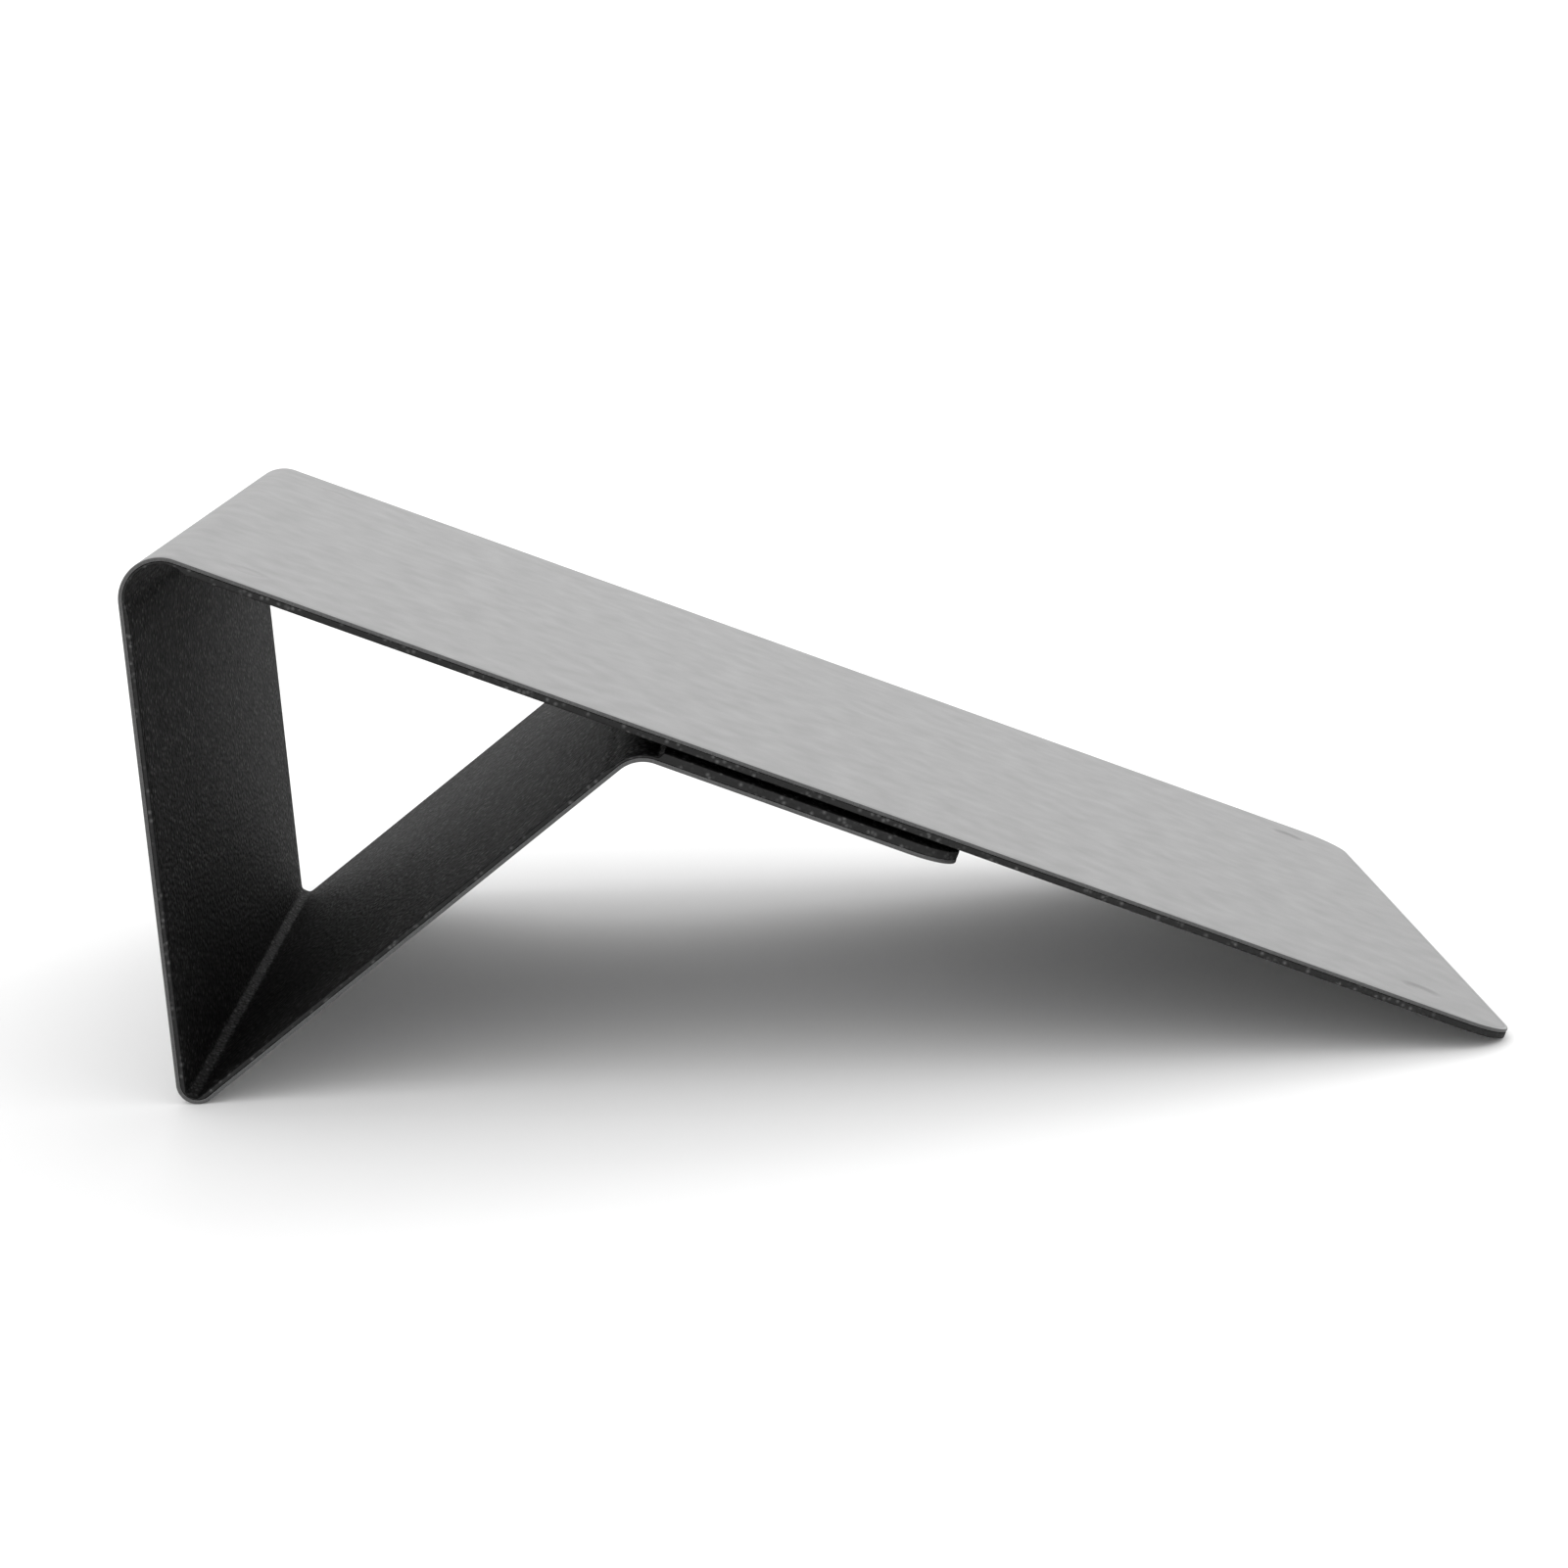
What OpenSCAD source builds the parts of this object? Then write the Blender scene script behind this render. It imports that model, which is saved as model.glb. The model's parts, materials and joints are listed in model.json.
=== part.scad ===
// Fold-flat laptop stand: one long strip of laminated leatherette over stiff boards.
// The strip folds at three soft hinges into a top panel, a leg, a strut and a flap.
// The open stand rests on the crease between leg and strut and on the top panel's front edge.
// +X points to the front edge, +Y to the stand's left side, +Z up; the desk is Z = 0.

/* [Overall] */
// Length of the top panel, from the rear corner of its upper face to the front edge
top_len = 230; // [215:1:280]
// Width of the whole strip
strip_w = 160; // [120:1:200]
// Length of the leg's outer face, between the corners it would have without rounding
leg_len = 91.8; // [76:0.1:98]
// Angle between the top panel and the leg when the stand is open
rear_angle = 65; // [58:1:68]
// Angle between the top panel and the strut when the stand is open
strut_angle = 59; // [55:1:63]
// Height from the flap's outer face to the top panel's upper face when open
flap_drop = 4.9; // [4:0.1:7]

/* [Laminate] */
// Thickness of the light outer skin
skin_t = 0.6; // [0.4:0.05:0.75]
// Thickness of the dark lining
lining_t = 0.5; // [0.35:0.05:0.6]
// Thickness of the stiff board inside the top panel
top_board_t = 0.6; // [0.4:0.05:0.8]
// Thickness of the stiff boards inside the leg and the strut
back_board_t = 0.3; // [0.25:0.05:0.5]
// Thickness of the stiff board inside the flap
flap_board_t = 1; // [0.3:0.05:1.2]
// Border where skin and lining are pressed together outside a board
edge_margin = 2; // [1:0.1:4]
// Border between a board's end and the soft hinge beside it
hinge_margin = 0.8; // [0.4:0.1:2]
// Corner radius of the top panel's front edge and of the flap's free edge
corner_r = 8.5; // [4:0.5:20]

/* [Soft hinges] */
// Outer radius of the rear bend when open
bend_r = 6.5; // [4:0.1:8]
// Outer radius of the crease that stands on the desk
crease_r = 3.3; // [3:0.1:4]
// Thickness left in the middle of the crease
crease_t = 0.95; // [0.85:0.05:1.1]
// Radius of the hollow side of the junction between strut and flap
junction_r = 5.5; // [3:0.1:8]
// Distance of the flap's folded edge behind the top panel's front edge
fold_inset = 0.5; // [0.2:0.1:2]

/* [Magnets] */
// Diameter of the disc magnets
magnet_d = 6; // [4:0.5:10]
// Thickness of the disc magnets
magnet_t = 0.5; // [0.4:0.05:0.6]
// Clearance round each magnet and keeper plate in its pocket
pocket_gap = 0.1; // [0.05:0.05:0.3]
// Distance of the magnets from the strip's long edges
magnet_side = 14; // [10:0.5:30]
// Distance of the front magnets from the top panel's front edge
magnet_front = 13.5; // [10:0.5:30]
// Distance of the rear magnets from the rear corner of the top panel
magnet_rear = 20; // [18:0.5:30]
// Length of the steel keeper plates that hold the flap when the stand is open
keeper_len = 24; // [10:1:30]
// Width of the keeper plates
keeper_w = 10; // [6:1:16]
// Thickness of the keeper plates
keeper_t = 0.3; // [0.2:0.05:0.4]

/* [Hidden] */
$fn = 96;
// how far a cutting shape runs past the face that it cuts
cut_over = 1;

SKIN_COLOR = [0.70, 0.70, 0.70];
LINING_COLOR = [0.13, 0.13, 0.14];
BOARD_COLOR = [0.78, 0.80, 0.66];
MAGNET_COLOR = [0.75, 0.76, 0.78];
KEEPER_COLOR = [0.55, 0.56, 0.58];

hinge_t = skin_t + lining_t;
top_t = skin_t + top_board_t + lining_t;
back_t = skin_t + back_board_t + lining_t;

// The section lies in the plane of u, along the top panel, and v, square to it.
// Corner A is the rear bend, B the crease and C the junction, all on the outer faces.
leg_dir = -rear_angle;
crease_angle = 180 - rear_angle - strut_angle;
strut_len = (leg_len * sin(rear_angle) - flap_drop) / sin(strut_angle);
corner_b = leg_len * [cos(leg_dir), sin(leg_dir)];
corner_c = corner_b + strut_len * [cos(strut_angle), sin(strut_angle)];

// distance from each corner to where its soft hinge starts
bend_reach = bend_r / tan(rear_angle / 2);
crease_reach = crease_r / tan(crease_angle / 2);
junction_reach = junction_r * tan(strut_angle / 2);

// centres of the three hinge arcs
bend_centre = [bend_reach, -bend_r];
bisector_b = strut_angle + crease_angle / 2;
crease_centre = corner_b + crease_r / sin(crease_angle / 2) * [cos(bisector_b), sin(bisector_b)];
junction_centre = corner_c + [junction_reach, -junction_r];

// Folded, the crease and the junction lie flat, each as long as the middle of its bent strip.
crease_flat = (crease_r - hinge_t / 2) * (180 - crease_angle) * PI / 180;
junction_flat = (junction_r + hinge_t / 2) * strut_angle * PI / 180;
leg_to_strut = leg_len + crease_flat - 2 * crease_reach;
strut_to_flap = strut_len + junction_flat - 2 * junction_reach;

// the flap's free edge then ends just behind the top panel's front edge
flap_len = top_len - fold_inset - leg_to_strut - strut_to_flap;
flap_magnet_x = flap_len - (magnet_front - fold_inset);
magnet_y = strip_w / 2 - magnet_side;
keeper_u = corner_c[0] + flap_magnet_x;

// the desk line runs from the front lower edge to the underside of the crease
front_foot = [top_len, -top_t];
to_foot = front_foot - crease_centre;
tilt = atan2(to_foot[1], to_foot[0]) + asin(crease_r / norm(to_foot));

function desk_x(p) = p[0] * cos(tilt) + p[1] * sin(tilt);
function desk_z(p) = p[1] * cos(tilt) - p[0] * sin(tilt);

x_rear = min(desk_x(bend_centre) - bend_r, desk_x(crease_centre) - crease_r);
x_front = desk_x([top_len, 0]);
x_mid = (x_rear + x_front) / 2;
z_desk = desk_z(front_foot);

// ---- frames ----
// Each panel is drawn with its outer face at Z = 0, its depth along +Z and its length along +X.

module in_desk_frame() {
    translate([-x_mid, 0, -z_desk])
        rotate([0, tilt, 0])
            children();
}

module on_top() {
    in_desk_frame()
        mirror([0, 0, 1])
            children();
}

module on_leg() {
    in_desk_frame()
        rotate([0, rear_angle, 0])
            children();
}

module on_strut() {
    in_desk_frame()
        translate([corner_b[0], 0, corner_b[1]])
            rotate([0, -strut_angle, 0])
                children();
}

module on_flap() {
    in_desk_frame()
        translate([corner_c[0], 0, corner_c[1]])
            children();
}

// a section drawn in u and v, run across the whole width of the strip
module across_strip() {
    in_desk_frame()
        rotate([90, 0, 0])
            linear_extrude(height = strip_w, center = true)
                children();
}

// ---- panel layers ----

// a panel's outline from x0 to x1, with corners of radius r at x1, or square ones if r is 0
module plan(x0, x1, w, r) {
    if (r > 0) {
        translate([x0, -w / 2])
            square([x1 - x0 - r, w]);
        translate([x0, r - w / 2])
            square([x1 - x0, w - 2 * r]);
        for (side = [-1, 1])
            translate([x1 - r, side * (w / 2 - r)])
                circle(r = r);
    } else {
        translate([x0, -w / 2])
            square([x1 - x0, w]);
    }
}

module slab(x0, x1, w, r, z0, z1) {
    translate([0, 0, z0])
        linear_extrude(height = z1 - z0)
            plan(x0, x1, w, r);
}

// the board's outline: margin0 and margin1 are its borders at the two ends
module board_slab(x0, x1, r, margin0, margin1, z0, z1) {
    board_r = r > edge_margin ? r - edge_margin : 0;
    slab(x0 + margin0, x1 - margin1, strip_w - 2 * edge_margin, board_r, z0, z1);
}

module magnet_disc(x, side, gap = 0, over = 0) {
    translate([x, side * magnet_y, skin_t - over])
        cylinder(d = magnet_d + 2 * gap, h = magnet_t + over);
}

module magnet_pockets(x) {
    for (side = [-1, 1])
        magnet_disc(x, side, pocket_gap, cut_over);
}

module keeper(side, gap = 0, over = 0) {
    seat = skin_t + top_board_t - keeper_t;
    size = [keeper_len + 2 * gap, keeper_w + 2 * gap, keeper_t + over];
    translate([keeper_u - size[0] / 2, side * magnet_y - size[1] / 2, seat])
        cube(size);
}

// the lining: a thin sheet with a raised border round the pocket that holds the board
module lining_tray(x0, x1, r, board_t, margin0, margin1) {
    difference() {
        slab(x0, x1, strip_w, r, skin_t, skin_t + board_t + lining_t);
        board_slab(x0, x1, r, margin0, margin1, skin_t - cut_over, skin_t + board_t);
    }
}

// ---- top panel ----

module top_skin() {
    color(SKIN_COLOR)
        on_top()
            slab(bend_reach, top_len, strip_w, corner_r, 0, skin_t);
}

module top_board() {
    color(BOARD_COLOR)
        on_top()
            difference() {
                board_slab(bend_reach, top_len, corner_r, hinge_margin, edge_margin,
                           skin_t, skin_t + top_board_t);
                magnet_pockets(magnet_rear);
                magnet_pockets(top_len - magnet_front);
                for (side = [-1, 1])
                    keeper(side, pocket_gap, cut_over);
            }
}

module top_lining() {
    color(LINING_COLOR)
        on_top()
            lining_tray(bend_reach, top_len, corner_r, top_board_t, hinge_margin, edge_margin);
}

module top_magnet(x, side) {
    color(MAGNET_COLOR)
        on_top()
            magnet_disc(x, side);
}

module front_magnet_left() {
    top_magnet(top_len - magnet_front, 1);
}

module front_magnet_right() {
    top_magnet(top_len - magnet_front, -1);
}

module rear_magnet_left() {
    top_magnet(magnet_rear, 1);
}

module rear_magnet_right() {
    top_magnet(magnet_rear, -1);
}

module keeper_plate(side) {
    color(KEEPER_COLOR)
        on_top()
            keeper(side);
}

module keeper_plate_left() {
    keeper_plate(1);
}

module keeper_plate_right() {
    keeper_plate(-1);
}

// ---- soft hinges ----

// the part of a ring between radii r0 and r1 that lies between directions a0 and a1
module ring_part(centre, r0, r1, a0, a1) {
    far = 2 * r1;
    middle = (a0 + a1) / 2;
    translate(centre)
        intersection() {
            difference() {
                circle(r = r1);
                circle(r = r0);
            }
            polygon([
                [0, 0],
                far * [cos(a0), sin(a0)],
                far * [cos(middle), sin(middle)],
                far * [cos(a1), sin(a1)]
            ]);
        }
}

module bend_ring(r0, r1) {
    ring_part(bend_centre, r0, r1, 90, 270 - rear_angle);
}

module bend_skin() {
    color(SKIN_COLOR)
        across_strip()
            bend_ring(bend_r - skin_t, bend_r);
}

module bend_lining() {
    color(LINING_COLOR)
        across_strip()
            bend_ring(bend_r - hinge_t, bend_r - skin_t);
}

module crease_ring(r0, r1) {
    ring_part(crease_centre, r0, r1, 270 - rear_angle, 270 + strut_angle);
}

// the space between the inner faces of leg and strut, closed by a flat stripe at the crease
module crease_hollow() {
    half = crease_angle / 2;
    stripe_d = crease_r / sin(half) - crease_r + crease_t;
    stripe_half_w = (stripe_d - back_t / sin(half)) * tan(half);
    run = 2 * crease_reach;
    translate(corner_b)
        rotate(bisector_b)
            polygon([
                [stripe_d, stripe_half_w],
                [stripe_d, -stripe_half_w],
                [stripe_d, -stripe_half_w] + run * [cos(half), -sin(half)],
                [stripe_d, stripe_half_w] + run * [cos(half), sin(half)]
            ]);
}

module crease_skin() {
    color(SKIN_COLOR)
        across_strip()
            crease_ring(crease_r - skin_t, crease_r);
}

module crease_lining() {
    color(LINING_COLOR)
        across_strip()
            difference() {
                crease_ring(0, crease_r - skin_t);
                crease_hollow();
            }
}

module junction_ring(r0, r1) {
    ring_part(junction_centre, r0, r1, 90, 90 + strut_angle);
}

module junction_skin() {
    color(SKIN_COLOR)
        across_strip()
            junction_ring(junction_r, junction_r + skin_t);
}

module junction_lining() {
    color(LINING_COLOR)
        across_strip()
            junction_ring(junction_r + skin_t, junction_r + hinge_t);
}

// ---- leg ----

leg_x0 = bend_reach;
leg_x1 = leg_len - crease_reach;

module leg_skin() {
    color(SKIN_COLOR)
        on_leg()
            slab(leg_x0, leg_x1, strip_w, 0, 0, skin_t);
}

module leg_board() {
    color(BOARD_COLOR)
        on_leg()
            difference() {
                board_slab(leg_x0, leg_x1, 0, hinge_margin, hinge_margin,
                           skin_t, skin_t + back_board_t);
                magnet_pockets(magnet_rear);
            }
}

module leg_lining() {
    color(LINING_COLOR)
        on_leg()
            difference() {
                lining_tray(leg_x0, leg_x1, 0, back_board_t, hinge_margin, hinge_margin);
                magnet_pockets(magnet_rear);
            }
}

module leg_magnet(side) {
    color(MAGNET_COLOR)
        on_leg()
            magnet_disc(magnet_rear, side);
}

module leg_magnet_left() {
    leg_magnet(1);
}

module leg_magnet_right() {
    leg_magnet(-1);
}

// ---- strut ----

strut_x0 = crease_reach;
strut_x1 = strut_len - junction_reach;

module strut_skin() {
    color(SKIN_COLOR)
        on_strut()
            slab(strut_x0, strut_x1, strip_w, 0, 0, skin_t);
}

module strut_board() {
    color(BOARD_COLOR)
        on_strut()
            board_slab(strut_x0, strut_x1, 0, hinge_margin, hinge_margin,
                       skin_t, skin_t + back_board_t);
}

module strut_lining() {
    color(LINING_COLOR)
        on_strut()
            lining_tray(strut_x0, strut_x1, 0, back_board_t, hinge_margin, hinge_margin);
}

// ---- flap ----

flap_x0 = junction_reach;

module flap_skin() {
    color(SKIN_COLOR)
        on_flap()
            slab(flap_x0, flap_len, strip_w, corner_r, 0, skin_t);
}

module flap_board() {
    color(BOARD_COLOR)
        on_flap()
            difference() {
                board_slab(flap_x0, flap_len, corner_r, hinge_margin, edge_margin,
                           skin_t, skin_t + flap_board_t);
                magnet_pockets(flap_magnet_x);
            }
}

module flap_lining() {
    color(LINING_COLOR)
        on_flap()
            difference() {
                lining_tray(flap_x0, flap_len, corner_r, flap_board_t, hinge_margin, edge_margin);
                magnet_pockets(flap_magnet_x);
            }
}

module flap_magnet(side) {
    color(MAGNET_COLOR)
        on_flap()
            magnet_disc(flap_magnet_x, side);
}

module flap_magnet_left() {
    flap_magnet(1);
}

module flap_magnet_right() {
    flap_magnet(-1);
}

top_skin();
top_board();
top_lining();
front_magnet_left();
front_magnet_right();
rear_magnet_left();
rear_magnet_right();
keeper_plate_left();
keeper_plate_right();
bend_skin();
bend_lining();
leg_skin();
leg_board();
leg_lining();
leg_magnet_left();
leg_magnet_right();
crease_skin();
crease_lining();
strut_skin();
strut_board();
strut_lining();
junction_skin();
junction_lining();
flap_skin();
flap_board();
flap_lining();
flap_magnet_left();
flap_magnet_right();
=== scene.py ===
"""Fold-flat laptop stand: one strip of leatherette laminate, folded at three soft hinges."""

import json
from cmath import exp, phase
from math import cos, hypot, log, pi, radians, sin

import bmesh
import bpy
from mathutils import Matrix, Vector


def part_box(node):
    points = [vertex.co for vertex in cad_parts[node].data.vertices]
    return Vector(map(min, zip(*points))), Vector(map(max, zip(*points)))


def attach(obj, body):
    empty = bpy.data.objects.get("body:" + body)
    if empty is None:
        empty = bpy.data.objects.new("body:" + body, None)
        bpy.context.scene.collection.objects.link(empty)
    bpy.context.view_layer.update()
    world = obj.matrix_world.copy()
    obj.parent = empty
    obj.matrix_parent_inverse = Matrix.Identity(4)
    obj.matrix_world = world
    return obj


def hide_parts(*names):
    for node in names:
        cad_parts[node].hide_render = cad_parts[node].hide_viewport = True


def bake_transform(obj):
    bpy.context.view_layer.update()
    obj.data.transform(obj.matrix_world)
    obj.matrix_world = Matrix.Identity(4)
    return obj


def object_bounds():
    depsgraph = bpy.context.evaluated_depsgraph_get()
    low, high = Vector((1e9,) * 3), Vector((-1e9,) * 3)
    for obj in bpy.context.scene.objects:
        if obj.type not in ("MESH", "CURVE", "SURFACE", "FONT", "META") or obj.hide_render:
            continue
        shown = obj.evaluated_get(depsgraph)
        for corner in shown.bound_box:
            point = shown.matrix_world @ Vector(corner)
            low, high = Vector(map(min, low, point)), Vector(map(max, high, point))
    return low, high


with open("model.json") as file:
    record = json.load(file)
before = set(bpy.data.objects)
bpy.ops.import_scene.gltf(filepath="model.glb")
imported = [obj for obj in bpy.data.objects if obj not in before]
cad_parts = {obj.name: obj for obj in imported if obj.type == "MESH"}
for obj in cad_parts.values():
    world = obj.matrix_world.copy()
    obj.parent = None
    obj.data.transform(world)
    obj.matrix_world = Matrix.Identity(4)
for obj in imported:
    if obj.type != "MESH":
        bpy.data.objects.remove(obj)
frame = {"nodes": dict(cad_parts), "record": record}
CAD_BOX = [list(corner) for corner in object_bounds()]
RECORD = frame["record"]
MM = 0.001


# ---- the strip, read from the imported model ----
# A point of the strip's side view is a complex number in metres: X to the front, Z up.
# The strip is walked from the top panel's front edge to the flap's free edge. The outer face is on
# the right of the walk and the lining on its left. "Along" is the distance walked, and "depth" is
# measured inwards from the outer face.

def side_view(node):
    return [complex(v.co.x, v.co.z) for v in frame["nodes"][node].data.vertices]


def ease(x):
    x = min(max(x, 0.0), 1.0)
    return x * x * (3 - 2 * x)


class Panel:
    """A flat panel, between two soft hinges or between a hinge and a free edge."""

    def __init__(self, name, heading):
        self.heading = heading
        self.inward = 1j * heading
        skin = [p * heading.conjugate() for p in side_view(name + "_skin")]
        lining = [p * heading.conjugate() for p in side_view(name + "_lining")]
        self.face = min(p.imag for p in skin)
        self.first = min(p.real for p in skin)
        self.length = max(p.real for p in skin) - self.first
        self.skin_t = max(p.imag for p in skin) - self.face
        self.total_t = max(p.imag for p in lining) - self.face

    def at(self, along):
        return self.heading * complex(self.first + along, self.face), self.inward


class Hinge:
    """A soft hinge: an arc from the end of one panel to the start of the next."""

    def __init__(self, before, after):
        self.turn = phase(after.heading / before.heading)
        self.inward = before.inward
        start = before.at(before.length)[0]
        end = after.at(0)[0]
        self.radius = abs(end - start) / (2 * sin(self.turn / 2))
        self.centre = start + self.inward * self.radius
        self.length = abs(self.radius * self.turn)

    def at(self, along):
        inward = self.inward * exp(1j * self.turn * along / self.length)
        return self.centre - self.radius * inward, inward


LID_NORMAL = RECORD["mounts"][0]["axis"]
LID = complex(LID_NORMAL[2], -LID_NORMAL[0])
REAR_FOLD = next(j for j in RECORD["behaviour"]["joints"] if j["name"] == "rear_fold")
REAR_ANGLE = radians(REAR_FOLD["range_deg"][1])
STRUT_ANGLE = REAR_ANGLE * sum(c["ratio"] for c in RECORD["behaviour"]["couplings"]
                               if c["joint"].startswith("junction"))

top = Panel("top", -LID)
leg = Panel("leg", LID * exp(-1j * REAR_ANGLE))
strut = Panel("strut", LID * exp(1j * STRUT_ANGLE))
flap = Panel("flap", LID)
bend = Hinge(top, leg)
crease = Hinge(leg, strut)
junction = Hinge(strut, flap)

PARTS = {"top": top, "bend": bend, "leg": leg, "crease": crease, "strut": strut,
         "junction": junction, "flap": flap}
# where each part starts and ends along the strip
STRIP = {}
walked = 0.0
for part_name, part in PARTS.items():
    STRIP[part_name] = (walked, walked + part.length)
    walked += part.length

SKIN_T = top.skin_t
HALF_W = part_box("top_skin")[1].y
HINGE_T = abs(bend.radius) - min(abs(p - bend.centre) for p in side_view("bend_lining"))
# the laminate is pressed a little thinner in the crease
CREASE_T = 0.95 * MM
# the free edges' corners, in plan
CORNER_R = 8.5 * MM


def station(along, part_name):
    """The outer face's point and the inward direction, so far along the strip."""
    return PARTS[part_name].at(along - STRIP[part_name][0])


def place(node):
    """Where a CAD node lies on its panel: along the strip and across it."""
    low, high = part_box(node)
    middle = (low + high) / 2
    part_name = "top" if node.startswith(("front", "rear", "keeper")) else node.split("_")[0]
    panel = PARTS[part_name]
    here = (complex(middle.x, middle.z) * panel.heading.conjugate()).real
    return STRIP[part_name][0] + here - panel.first, middle.y


MAGNETS = {
    "top": [place(f"{row}_magnet_{side}") for row in ("front", "rear") for side in ("left", "right")],
    "leg": [place(f"leg_magnet_{side}") for side in ("left", "right")],
    "flap": [place(f"flap_magnet_{side}") for side in ("left", "right")],
}
KEEPERS = [place(f"keeper_plate_{side}") for side in ("left", "right")]
MAGNET_Y = MAGNETS["top"][0][1]
# half a keeper plate's length and width
KEEPER_HALF = (12 * MM, 5 * MM)

# how far the skin has sunk in over the magnets
DIMPLE_R = 3.3 * MM
FRONT_DIMPLE = 0.3 * MM
REAR_DIMPLE = 0.15 * MM
BACK_DIMPLE = 0.08 * MM
# how far the lining stands proud over a keeper plate, and how wide the plate's soft outline is
PLATE_RISE = 0.05 * MM
PLATE_EDGE = 0.8 * MM
# the slope beside a hinge, where a board stops; the flap's thicker board ends in a steeper one
BOARD_SLOPE_START = 0.1 * MM
BOARD_SLOPE = 2.4 * MM
FLAP_BOARD_SLOPE = 0.9 * MM
# the lining's small folds on the inside of the bend
WRINKLE_HEIGHT = 0.055 * MM
WRINKLE_PITCH = 1.35 * MM
# how crisply the crease's stripe meets the panels' inner faces
CREASE_CRISPNESS = 14.0


# ---- the shapes of the outer face and of the lining ----

def dimple(along, y, spots, depth):
    """How far a face has sunk in over the magnets: a flat floor with a soft slope round it."""
    sunk = 0.0
    for s, at_y in spots:
        away = hypot(along - s, y - at_y)
        sunk += depth * (1 - ease((away - 0.62 * DIMPLE_R) / (0.5 * DIMPLE_R)))
    return sunk


def plate_bulge(along, y):
    """The lining stands a little proud over the keeper plates."""
    rise = 0.0
    for s, at_y in KEEPERS:
        over = 1.0
        for off, half in ((along - s, KEEPER_HALF[0]), (y - at_y, KEEPER_HALF[1])):
            over *= 1 - ease((abs(off) - half) / PLATE_EDGE + 0.5)
        rise += over
    return PLATE_RISE * rise


def outer_face(part_name):
    """The outer face's depth, as a function of the place on the strip."""
    if part_name not in MAGNETS:
        return lambda along, y: 0.0
    spots = MAGNETS[part_name]
    if part_name != "top":
        return lambda along, y: dimple(along, y, spots, BACK_DIMPLE)
    front, rear = spots[:2], spots[2:]
    return lambda along, y: (dimple(along, y, front, FRONT_DIMPLE)
                             + dimple(along, y, rear, REAR_DIMPLE))


def skin_back(along, y):
    """The face between skin and lining."""
    return SKIN_T


def thin_end(along, end, total, slope=BOARD_SLOPE):
    """A panel's thickness near a hinge, where its board stops."""
    return HINGE_T + (total - HINGE_T) * ease((abs(along - end) - BOARD_SLOPE_START) / slope)


def wrinkles(share, along, y):
    """Small folds where the lining is squeezed on the inside of the bend."""
    fade = ease(share / 0.22) * ease((1 - share) / 0.22)
    drift = 0.35 * MM * sin(y / (9.1 * MM)) + 0.2 * MM * sin(y / (3.7 * MM) + 1.3)
    wave = sin(2 * pi * (along + drift) / WRINKLE_PITCH)
    strength = 0.6 + 0.4 * sin(y / (6.3 * MM) + 0.7)
    return WRINKLE_HEIGHT * fade * strength * wave


def smooth_max(values):
    most = max(values)
    return most + log(sum(exp(v - most).real for v in values))


def crease_depth(along):
    """The lining's depth in the crease: the two panels' inner faces, and a flat stripe between."""
    angle = abs(crease.turn) * (along - STRIP["crease"][0]) / crease.length
    r = crease.radius
    wall = r - leg.total_t
    stripe = r - CREASE_T
    reach = [wall / max(cos(angle), 0.01), stripe / cos(angle - abs(crease.turn) / 2),
             wall / max(cos(abs(crease.turn) - angle), 0.01)]
    crisp = CREASE_CRISPNESS / r
    soft = -smooth_max([-crisp * x for x in reach]) / crisp
    return r - min(soft, min(reach))


def lining_face(part_name):
    """The lining's inner face, as a function of the place on the strip."""
    start, end = STRIP[part_name]
    if part_name == "top":
        return lambda along, y: thin_end(along, end, top.total_t) + plate_bulge(along, y)
    if part_name == "bend":
        return lambda along, y: HINGE_T + wrinkles((along - start) / (end - start), along, y)
    if part_name == "leg":
        return lambda along, y: thin_end(along, start, leg.total_t)
    if part_name == "crease":
        return lambda along, y: crease_depth(along)
    if part_name == "strut":
        return lambda along, y: thin_end(along, end, strut.total_t)
    if part_name == "junction":
        return lambda along, y: HINGE_T
    return lambda along, y: thin_end(along, start, flap.total_t, FLAP_BOARD_SLOPE)


# ---- sheets ----
# A rim is a list of (inset from the cut edge, 0 for the outer face or 1 for the inner face, and
# the extra depth). It runs from the outer face round the cut edge to the inner face.

SKIN_RIM = [(CORNER_R, 0, 0), (4 * MM, 0, 0), (1.4 * MM, 0, 0), (0.85 * MM, 0, 0.015 * MM),
            (0.66 * MM, 0, 0.05 * MM), (0.47 * MM, 0, 0.015 * MM), (0.3 * MM, 0, 0),
            (0.17 * MM, 0, 0.008 * MM), (0.07 * MM, 0, 0.045 * MM), (0.015 * MM, 0, 0.12 * MM),
            (0, 0, 0.2 * MM), (0, 1, -0.12 * MM), (0.03 * MM, 1, -0.04 * MM),
            (0.1 * MM, 1, 0), (4 * MM, 1, 0), (CORNER_R, 1, 0)]
LINING_RIM = [(CORNER_R, 0, 0), (4 * MM, 0, 0), (0.22 * MM, 0, 0), (0.16 * MM, 0, 0.05 * MM),
              (0.06 * MM, 0, 0.12 * MM), (0.02 * MM, 0, 0.2 * MM), (0.02 * MM, 1, -0.2 * MM),
              (0.05 * MM, 1, -0.1 * MM), (0.14 * MM, 1, -0.03 * MM), (0.3 * MM, 1, 0),
              (0.9 * MM, 1, -0.02 * MM), (1.5 * MM, 1, -0.05 * MM), (1.9 * MM, 1, -0.03 * MM),
              (2.4 * MM, 1, 0), (4 * MM, 1, 0), (CORNER_R, 1, 0)]


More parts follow.
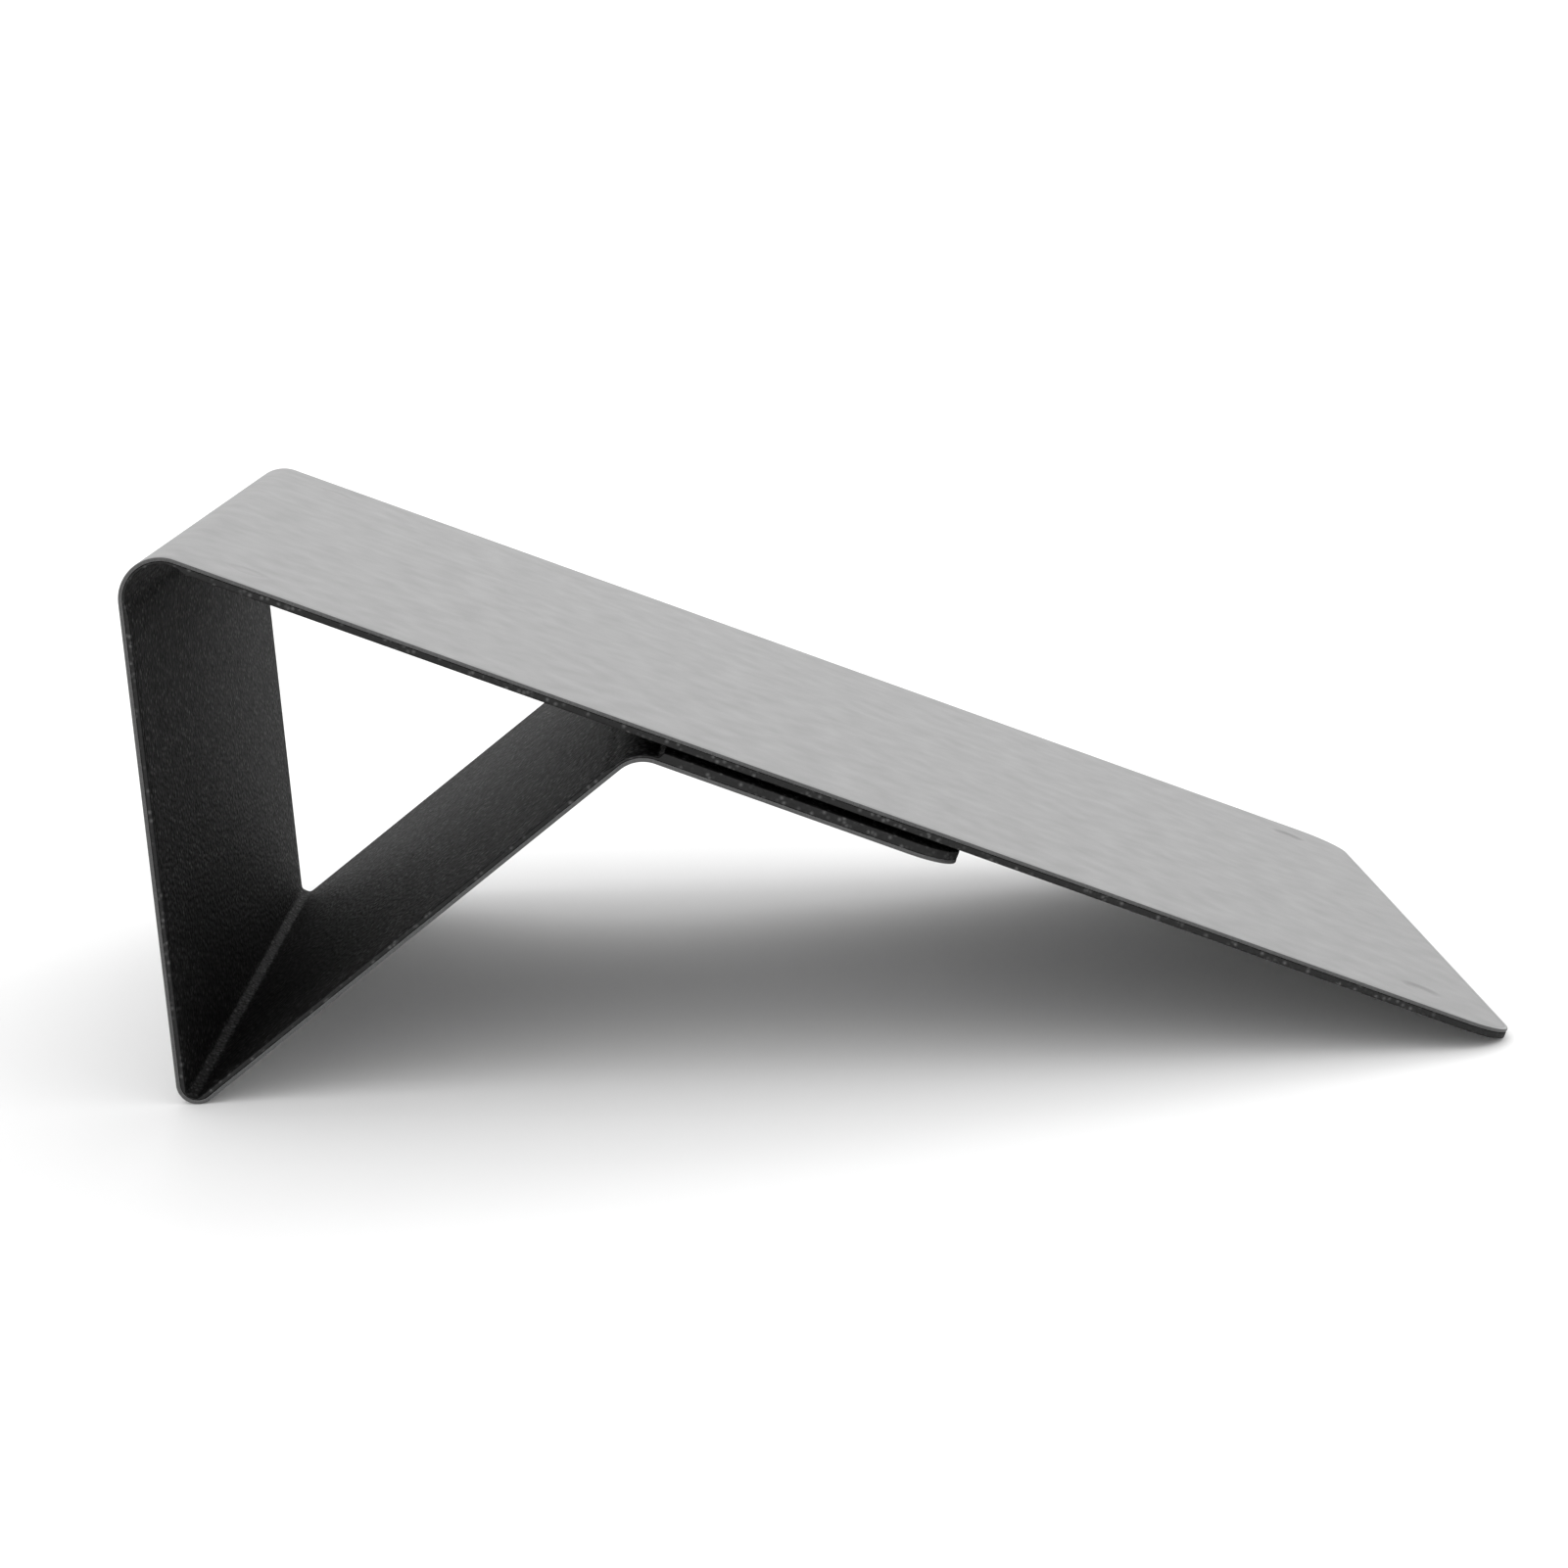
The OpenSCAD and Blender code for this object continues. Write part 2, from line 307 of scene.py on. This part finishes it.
def lines(low, high, step, spots=()):
    """Grid lines from low to high, closer together round each spot (middle, reach, step)."""
    low, high = round(low, 8), round(high, 8)
    count = max(1, round((high - low) / step))
    found = {round(low + (high - low) * i / count, 8) for i in range(count + 1)}
    for middle, reach, fine in spots:
        count = max(1, round(2 * reach / fine))
        inside = {x for x in found if abs(x - middle) < reach and low < x < high}
        found -= inside
        found |= {round(middle - reach + 2 * reach * i / count, 8) for i in range(count + 1)
                  if low < middle - reach + 2 * reach * i / count < high}
    return sorted(found)


# distances between grid lines: on plain areas, over shallow reliefs and on a board's end slope
COARSE_ALONG = 6 * MM
COARSE_ACROSS = 8 * MM
FINE = 0.3 * MM
SLOPE_FINE = 0.2 * MM
# how far the close lines reach from a magnet's middle, from a plate's end and along a slope
MAGNET_REACH = 4 * MM
PLATE_REACH = 1.2 * MM
SLOPE_REACH = 1.3 * MM

SIDE_Y = HALF_W - CORNER_R
Y_LINES = lines(-SIDE_Y, SIDE_Y, COARSE_ACROSS,
                [(side * MAGNET_Y, MAGNET_REACH, FINE) for side in (-1, 1)])


class Sheet:
    """A closed sheet, built as a grid with a rim round its cut edges.

    A free edge is -1 at the start of the sheet or 1 at its end, and 0 is none.
    """

    def __init__(self, part_name, s_lines, outer, inner, rim, free):
        self.part = part_name
        self.outer, self.inner, self.rim = outer, inner, rim
        self.points, self.strip, self.cut, self.inset = [], [], [], []
        self.index, self.faces = {}, []
        self.block(s_lines)
        if free:
            self.run(self.free_chain(s_lines, free))
        else:
            for side in (-1, 1):
                self.run([((s, side * SIDE_Y), (0, side)) for s in s_lines])
        if free >= 0:
            self.cap(s_lines[0])
        if free <= 0:
            self.cap(s_lines[-1])

    def free_chain(self, s_lines, free):
        """The outline of a panel with a free edge: one side, the tip with its corners, the other side."""
        towards = s_lines[::free]
        tip = towards[-1]
        turns = [radians(5 * i) for i in range(19)]
        chain = [((s, -SIDE_Y), (0, -1)) for s in towards]
        chain += [((tip, -SIDE_Y), (free * sin(a), -cos(a))) for a in turns[1:]]
        chain += [((tip, y), (free, 0)) for y in Y_LINES[1:-1]]
        chain += [((tip, SIDE_Y), (free * cos(a), sin(a))) for a in turns[:-1]]
        return chain + [((s, SIDE_Y), (0, 1)) for s in towards[::-1]]

    def vertex(self, s, y, face, extra=0.0, cut=0.0, inset=CORNER_R):
        depth = (self.inner if face else self.outer)(s, y) + extra
        key = (round(s * 1e8), round(y * 1e8), round(depth * 1e8))
        if key not in self.index:
            point, inward = station(s, self.part)
            point += inward * depth
            self.index[key] = len(self.points)
            self.points.append((point.real, y, point.imag))
            self.strip.append((s, y, depth))
            self.cut.append(cut)
            self.inset.append(inset / MM)
        return self.index[key]

    def face(self, *corners):
        kept = [c for i, c in enumerate(corners) if c != corners[i - 1]]
        if len(set(kept)) > 2:
            self.faces.append(kept)

    def block(self, s_lines):
        for face in (0, 1):
            rows = [[self.vertex(s, y, face) for y in Y_LINES] for s in s_lines]
            for low, high in zip(rows, rows[1:]):
                for i in range(len(Y_LINES) - 1):
                    self.face(low[i], low[i + 1], high[i + 1], high[i])

    def rim_points(self, base, out):
        (s, y), (out_s, out_y) = base, out
        made = []
        for inset, face, extra in self.rim:
            reach = CORNER_R - inset
            edge = 1 - ease((inset - 0.01 * MM) / (0.2 * MM))
            made.append(self.vertex(s + out_s * reach, y + out_y * reach, face, extra, edge, inset))
        return made

    def run(self, chain):
        rings = [self.rim_points(*stop) for stop in chain]
        for one, two in zip(rings, rings[1:]):
            for i in range(len(self.rim) - 1):
                self.face(one[i], one[i + 1], two[i + 1], two[i])

    def cap(self, s):
        """Closes the sheet where it meets the next piece."""
        for y, y2 in zip(Y_LINES, Y_LINES[1:]):
            self.face(self.vertex(s, y, 0), self.vertex(s, y2, 0),
                      self.vertex(s, y2, 1), self.vertex(s, y, 1))
        for side in (-1, 1):
            self.face(*self.rim_points((s, side * SIDE_Y), (0, side)))

    def make(self, name, material):
        mesh = bpy.data.meshes.new(name)
        mesh.from_pydata(self.points, [], self.faces)
        strip = mesh.attributes.new("strip", "FLOAT_VECTOR", "POINT")
        strip.data.foreach_set("vector", [x for p in self.strip for x in p])
        mesh.attributes.new("cut", "FLOAT", "POINT").data.foreach_set("value", self.cut)
        mesh.attributes.new("inset", "FLOAT", "POINT").data.foreach_set("value", self.inset)
        mesh.update()
        bm = bmesh.new()
        bm.from_mesh(mesh)
        bmesh.ops.recalc_face_normals(bm, faces=bm.faces)
        bm.to_mesh(mesh)
        bm.free()
        mesh.shade_smooth()
        mesh.set_sharp_from_angle(angle=radians(50))
        mesh.materials.append(material)
        piece = bpy.data.objects.new(name, mesh)
        bpy.context.scene.collection.objects.link(piece)
        return piece


# ---- materials ----

class Shader:
    """A Principled material and the few node calls that the finishes need."""

    def __init__(self, name, source="strip"):
        self.material = bpy.data.materials.new(name)
        self.material.use_nodes = True
        self.tree = self.material.node_tree
        self.tree.nodes.clear()
        out = self.tree.nodes.new("ShaderNodeOutputMaterial")
        self.bsdf = self.tree.nodes.new("ShaderNodeBsdfPrincipled")
        self.tree.links.new(self.bsdf.outputs[0], out.inputs[0])
        if source == "strip":
            self.where = self.attribute("strip").outputs["Vector"]
        else:
            self.where = self.tree.nodes.new("ShaderNodeTexCoord").outputs["Object"]

    def attribute(self, name):
        found = self.tree.nodes.new("ShaderNodeAttribute")
        found.attribute_name = name
        return found

    def add(self, kind, output=0, settings=None, **inputs):
        made = self.tree.nodes.new("ShaderNode" + kind)
        for key, value in (settings or {}).items():
            setattr(made, key, value)
        for key, value in inputs.items():
            self.set(made.inputs[key.replace("_", " ")], value)
        return made.outputs[output]

    def set(self, socket, value):
        if isinstance(value, bpy.types.NodeSocket):
            self.tree.links.new(value, socket)
        else:
            socket.default_value = value

    def stretched(self, scale):
        """The same place, with the grain stretched or squeezed along each axis."""
        return self.add("Mapping", Vector=self.where, Scale=scale)

    def noise(self, size, detail=2.0, where=None, roughness=0.5):
        return self.add("TexNoise", 0, Vector=where or self.where, Scale=1 / size,
                        Detail=detail, Roughness=roughness)

    def cells(self, size, where=None):
        """Grain cells: the distance from the middle of each, and a chance value for each."""
        made = self.tree.nodes.new("ShaderNodeTexVoronoi")
        self.set(made.inputs["Vector"], where or self.where)
        made.inputs["Scale"].default_value = 1 / size
        return made.outputs["Distance"], made.outputs["Color"]

    def span(self, value, low, high, to_low, to_high):
        """Maps low..high to to_low..to_high, and holds the ends."""
        return self.add("MapRange", 0, Value=value, From_Min=low, From_Max=high,
                        To_Min=to_low, To_Max=to_high)

    def math(self, operation, a, b=0.0):
        made = self.tree.nodes.new("ShaderNodeMath")
        made.operation = operation
        self.set(made.inputs[0], a)
        self.set(made.inputs[1], b)
        return made.outputs[0]

    def blend(self, share, a, b):
        made = self.tree.nodes.new("ShaderNodeMix")
        made.data_type = "RGBA"
        self.set(made.inputs[0], share)
        self.set(made.inputs[6], a)
        self.set(made.inputs[7], b)
        return made.outputs[2]

    def bump(self, height, distance, strength=1.0, under=None):
        made = self.tree.nodes.new("ShaderNodeBump")
        made.inputs["Strength"].default_value = strength
        made.inputs["Distance"].default_value = distance
        self.set(made.inputs["Height"], height)
        if under is not None:
            self.set(made.inputs["Normal"], under)
        return made.outputs[0]

    def finish(self, **inputs):
        for key, value in inputs.items():
            self.set(self.bsdf.inputs[key.replace("_", " ")], value)
        return self.material


# how light the skin's face, the skin's cut edge and the lining are; the cut edge's tone is partly its own
# darker colour and partly painted shade of the side turned from the light
SKIN_TONE = 0.182
SKIN_EDGE_TONE_WITH_SHADE = 0.06
LINING_TONE = 0.005
# grain sizes
SKIN_CELL = 0.42 * MM
SKIN_GRAIN = 0.22 * MM
PEBBLE = 0.8 * MM
LINING_GRAIN = 0.3 * MM


def grey(value):
    return (value, value, value, 1.0)


def skin_finish():
    """Light grey leatherette: a very fine close grain, a pressed border with painted shade in its groove,
    a painted highlight along the rim, and a cut edge that is darker partly in its own colour and partly
    by painted shade.
    """
    s = Shader("outer_skin_leatherette")
    cut = s.attribute("cut").outputs["Fac"]
    inset = s.attribute("inset").outputs["Fac"]
    cells = s.cells(SKIN_CELL)[0]
    fine = s.noise(SKIN_GRAIN, 3)
    broad = s.noise(5 * MM, 4)
    face = s.blend(s.span(broad, 0.3, 0.7, 0, 1), grey(SKIN_TONE * 0.965), grey(SKIN_TONE * 1.035))
    face = s.blend(s.span(fine, 0.3, 0.75, 0, 0.5), face, grey(SKIN_TONE * 0.9))
    # painted highlight: the face is lighter within about half a millimetre of the cut edge
    face = s.blend(s.span(inset, 0.55, 0.4, 0, 0.75), face, grey(SKIN_TONE * 1.25))
    # painted shade: the face is darker over the pressed groove, 0.45 to 1 mm in from the cut edge
    pressed = s.math("MULTIPLY", s.span(inset, 0.45, 0.62, 0, 1), s.span(inset, 0.72, 1.0, 1, 0))
    face = s.blend(s.math("MULTIPLY", pressed, 0.45), face, grey(SKIN_TONE * 0.7))
    fibres = s.noise(0.12 * MM, 4, s.stretched((1, 1, 0.35)))
    # the cut edge: its own darker colour, darkened further as painted shade of the side turned from the
    # light
    edge = s.blend(s.span(fibres, 0.3, 0.7, 0, 1), grey(SKIN_EDGE_TONE_WITH_SHADE * 0.7), grey(SKIN_EDGE_TONE_WITH_SHADE * 1.3))
    # painted highlight: a patchy lighter line on the rounded rim, between the cut edge and the face
    rim_highlight_band = s.span(s.math("MULTIPLY", cut, s.math("SUBTRACT", 1.0, cut)), 0.05, 0.25, 0, 1)
    painted_rim_highlight = s.math("MULTIPLY", rim_highlight_band, s.span(s.noise(2.6 * MM, 3), 0.4, 0.65, 0.15, 0.7))
    colour = s.blend(s.span(cut, 0.55, 0.95, 0, 1), face, edge)
    colour = s.blend(painted_rim_highlight, colour, grey(SKIN_TONE * 1.15))
    grain = s.math("ADD", s.math("MULTIPLY", cells, 0.7), s.math("MULTIPLY", fine, 0.5))
    normal = s.bump(grain, 0.035 * MM, 0.5)
    rough = s.span(s.noise(6 * MM, 4), 0.3, 0.7, 0.56, 0.66)
    return s.finish(Base_Color=colour, Roughness=rough, Normal=normal, Specular_IOR_Level=0.35)


def lining_finish():
    """Charcoal leatherette: a pebble grain with painted glints on some pebble tops, and a rougher cut
    edge.
    """
    s = Shader("lining_leatherette")
    cut = s.attribute("cut").outputs["Fac"]
    where = s.stretched((1, 0.5, 1))
    distance, chance = s.cells(PEBBLE, where)
    pebble = s.span(distance, 0.05, 0.62, 1, 0)
    fine = s.noise(LINING_GRAIN, 3, where)
    broad = s.noise(17 * MM, 3)
    face = s.blend(s.span(broad, 0.3, 0.7, 0, 1), grey(LINING_TONE * 0.85), grey(LINING_TONE * 1.15))
    # painted highlights: bright specks on some pebble tops, on the face and on the cut edge, stand in for
    # glints
    painted_pebble_glints = s.math("MULTIPLY", s.math("POWER", pebble, 1.4), s.span(chance, 0.5, 0.75, 0.08, 1))
    face = s.blend(painted_pebble_glints, face, grey(LINING_TONE * 13))
    edge = s.blend(painted_pebble_glints, grey(LINING_TONE * 4.2), grey(LINING_TONE * 17))
    colour = s.blend(s.span(cut, 0.5, 0.9, 0, 1), face, edge)
    height = s.math("ADD", pebble, s.math("MULTIPLY", fine, 0.35))
    normal = s.bump(height, 0.16 * MM, 1.0)
    rough = s.span(s.noise(1.1 * MM, 4), 0.3, 0.7, 0.58, 0.76)
    return s.finish(Base_Color=colour, Roughness=rough, Normal=normal, Specular_IOR_Level=0.03)


def board_finish():
    """Pale glass-fibre laminate: a fine woven cloth under clear resin."""
    s = Shader("glass_fibre_board", "object")
    warp, weft = [s.add("TexWave", 1, {"wave_type": "BANDS", "bands_direction": way},
                        Vector=s.where, Scale=320.0, Distortion=0.6) for way in ("X", "Y")]
    cloth = s.math("MULTIPLY", warp, weft)
    tone = s.blend(cloth, (0.42, 0.46, 0.24, 1), (0.6, 0.62, 0.4, 1))
    tone = s.blend(s.span(s.noise(9 * MM, 3), 0.35, 0.7, 0, 0.4), tone, (0.5, 0.48, 0.28, 1))
    rough = s.span(s.noise(3 * MM, 3), 0.3, 0.7, 0.32, 0.5)
    return s.finish(Base_Color=tone, Roughness=rough, Normal=s.bump(cloth, 0.02 * MM, 0.6))


def metal_finish(name, light, dark, rough_low, rough_high, stretch):
    """Plated metal, with fine marks from handling and duller patches."""
    s = Shader(name, "object")
    marks = s.noise(0.4 * MM, 4, s.stretched(stretch))
    patches = s.noise(2.5 * MM, 4)
    tone = s.blend(s.span(patches, 0.35, 0.7, 0, 1), light, dark)
    rough = s.math("ADD", s.span(patches, 0.3, 0.7, rough_low, rough_high),
                   s.span(marks, 0.3, 0.7, -0.04, 0.08))
    return s.finish(Base_Color=tone, Metallic=1.0, Roughness=rough,
                    Normal=s.bump(marks, 0.01 * MM, 0.5))


SKIN = skin_finish()
LINING = lining_finish()
FINISHES = {
    "board": board_finish(),
    "magnet": metal_finish("nickel_plated_magnet", (0.72, 0.70, 0.66, 1), (0.55, 0.53, 0.5, 1),
                           0.2, 0.36, (1, 1, 1)),
    "keeper": metal_finish("cold_rolled_steel", (0.5, 0.5, 0.51, 1), (0.36, 0.36, 0.37, 1),
                           0.34, 0.5, (0.15, 1, 1)),
}


# ---- the pieces ----

def stations(low, high, fine):
    """Lines along an arc, with one very close to each end, so that the shading runs on smoothly."""
    count = max(2, round((high - low) / fine))
    nudge = 0.04 * (high - low) / count
    inner = [low + (high - low) * i / count for i in range(count + 1)]
    return sorted({round(x, 8) for x in inner + [low + nudge, high - nudge]})


def panel_lines(part_name, free):
    """The lines along a panel: close together over magnets, plates and the board's ends."""
    start, end = STRIP[part_name]
    low = start + CORNER_R if free < 0 else start
    high = end - CORNER_R if free > 0 else end
    rows = sorted({round(s, 6) for s, _ in MAGNETS.get(part_name, [])})
    spots = [(s, MAGNET_REACH, FINE) for s in rows]
    if part_name == "top":
        spots += [(KEEPERS[0][0] + side * KEEPER_HALF[0], PLATE_REACH, FINE) for side in (-1, 1)]
    slope = end - SLOPE_REACH if part_name in ("top", "strut") else start + SLOPE_REACH
    spots.append((slope, SLOPE_REACH, SLOPE_FINE))
    return lines(low, high, COARSE_ALONG, spots)


def make_pair(part_name, s_lines, free, suffix=""):
    """A piece of the skin and the piece of lining behind it."""
    outer = outer_face(part_name)
    inner = lining_face(part_name)
    made = []
    for layer, above, below, rim, material, slot in (
            ("skin", outer, skin_back, SKIN_RIM, SKIN, "outer_skin"),
            ("lining", skin_back, inner, LINING_RIM, LINING, "lining")):
        sheet = Sheet(part_name, s_lines, above, below, rim, free)
        piece = sheet.make(f"{part_name}_{layer}{suffix}_piece", material)
        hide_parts(f"{part_name}_{layer}")
        made.append(piece)
    return made


def corner_point(part_name, along, depth):
    """A point of the side view, as a point in space on the stand's middle plane."""
    point, inward = station(along, part_name)
    point += inward * depth
    return (point.real, 0.0, point.imag)


def soft_hinge(part_name, low, high, before, after, depths, fine, suffix=""):
    """Skin and lining strips along a hinge's arc, baked in place.

    The two bodies are not used, and the two points of the laminate at the given depths are worked out but
    not used.
    """
    start = corner_point(part_name, low, depths[0])
    end = corner_point(part_name, high, depths[1])
    for piece in make_pair(part_name, stations(low, high, fine), 0, suffix):
        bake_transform(piece)


for part_name, free, body in (("top", -1, "top_panel"), ("leg", 0, "leg"), ("strut", 0, "strut"),
                              ("flap", 1, "flap")):
    for piece in make_pair(part_name, panel_lines(part_name, free), free):
        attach(piece, body)

# distances between the lines along each hinge's arc
BEND_FINE, CREASE_FINE, JUNCTION_FINE = 0.16 * MM, 0.14 * MM, 0.2 * MM

soft_hinge("bend", *STRIP["bend"], "top_panel", "leg", (HINGE_T, HINGE_T), BEND_FINE)
low, high = STRIP["crease"]
middle = (low + high) / 2
soft_hinge("crease", low, middle, "leg", "crease", (leg.total_t, CREASE_T), CREASE_FINE,
           "_leg_half")
soft_hinge("crease", middle, high, "crease", "strut", (CREASE_T, strut.total_t), CREASE_FINE,
           "_strut_half")
low, high = STRIP["junction"]
middle = (low + high) / 2
soft_hinge("junction", low, middle, "strut", "junction", (0, 0), JUNCTION_FINE, "_strut_half")
soft_hinge("junction", middle, high, "junction", "flap", (0, 0), JUNCTION_FINE, "_flap_half")

for node_name, node in frame["nodes"].items():
    for kind, material in FINISHES.items():
        if kind in node_name:
            node.data.materials.clear()
            node.data.materials.append(material)


# ---- floor, light and camera ----

def studio_floor():
    """A wide pale floor."""
    reach = 30.0
    mesh = bpy.data.meshes.new("floor")
    mesh.from_pydata([(x * reach, y * reach, 0) for x, y in ((-1, -1), (1, -1), (1, 1), (-1, 1))],
                     [], [(0, 1, 2, 3)])
    s = Shader("pale_floor", "object")
    tone = s.blend(s.noise(0.4, 2), grey(0.80), grey(0.82))
    mesh.materials.append(s.finish(Base_Color=tone, Roughness=0.9))
    floor = bpy.data.objects.new("floor", mesh)
    bpy.context.scene.collection.objects.link(floor)


# the ring of light: how high it starts to fade and ends, and how strong it and the ceiling are
RING_LOW, RING_HIGH = 0.12, 0.5
RING_STRENGTH, CEILING_STRENGTH = 2.6, 1.15


def soft_box(name, place_at, aim_at, size, power):
    light = bpy.data.lights.new(name, "AREA")
    light.shape = "RECTANGLE"
    light.size, light.size_y = size
    light.energy = power
    lamp = bpy.data.objects.new(name, light)
    lamp.location = place_at
    lamp.rotation_mode = "QUATERNION"
    lamp.rotation_quaternion = (Vector(aim_at) - Vector(place_at)).to_track_quat("-Z", "Y")
    bpy.context.scene.collection.objects.link(lamp)


def studio_light():
    """A ring of light low down on every side, a softer ceiling and one soft box behind."""
    world = bpy.data.worlds.new("studio")
    world.use_nodes = True
    tree = world.node_tree
    backdrop = tree.nodes["Background"]
    backdrop.inputs["Color"].default_value = (1, 1, 1, 1)
    toward = tree.nodes.new("ShaderNodeTexCoord")
    apart = tree.nodes.new("ShaderNodeSeparateXYZ")
    ring = tree.nodes.new("ShaderNodeMapRange")
    ring.interpolation_type = "SMOOTHSTEP"
    for socket, value in (("From Min", RING_LOW), ("From Max", RING_HIGH),
                          ("To Min", RING_STRENGTH), ("To Max", CEILING_STRENGTH)):
        ring.inputs[socket].default_value = value
    tree.links.new(toward.outputs["Generated"], apart.inputs[0])
    tree.links.new(apart.outputs["Z"], ring.inputs["Value"])
    tree.links.new(ring.outputs[0], backdrop.inputs["Strength"])
    bpy.context.scene.world = world
    soft_box("back_soft_box", place_at=(0.3, 2.0, 1.7), aim_at=(0, 0, 0.03), size=(2.0, 1.2),
             power=20.0)
    bpy.context.scene.view_settings.view_transform = "Standard"


def camera():
    """A long lens from the stand's right side, a little above the desk."""
    azimuth, elevation, roll = radians(0.8075), radians(9.9232), radians(-2.2555)
    distance, lens, sensor_width = 0.6237, 81.574, 36.0
    middle_of_box = (Vector(CAD_BOX[0]) + Vector(CAD_BOX[1])) / 2
    aim = middle_of_box + Vector((-0.0055, -0.0016, -0.0098))
    data = bpy.data.cameras.new("camera")
    data.lens = lens
    data.sensor_width = sensor_width
    data.clip_start = 0.01
    cam = bpy.data.objects.new("camera", data)
    back = Vector((-sin(azimuth) * cos(elevation), -cos(azimuth) * cos(elevation), sin(elevation)))
    turn = back.to_track_quat("Z", "Y").to_matrix() @ Matrix.Rotation(roll, 3, "Z")
    cam.matrix_world = Matrix.Translation(aim + back * distance) @ turn.to_4x4()
    bpy.context.scene.collection.objects.link(cam)
    bpy.context.scene.camera = cam


studio_floor()
studio_light()
camera()

bpy.context.view_layer.update()
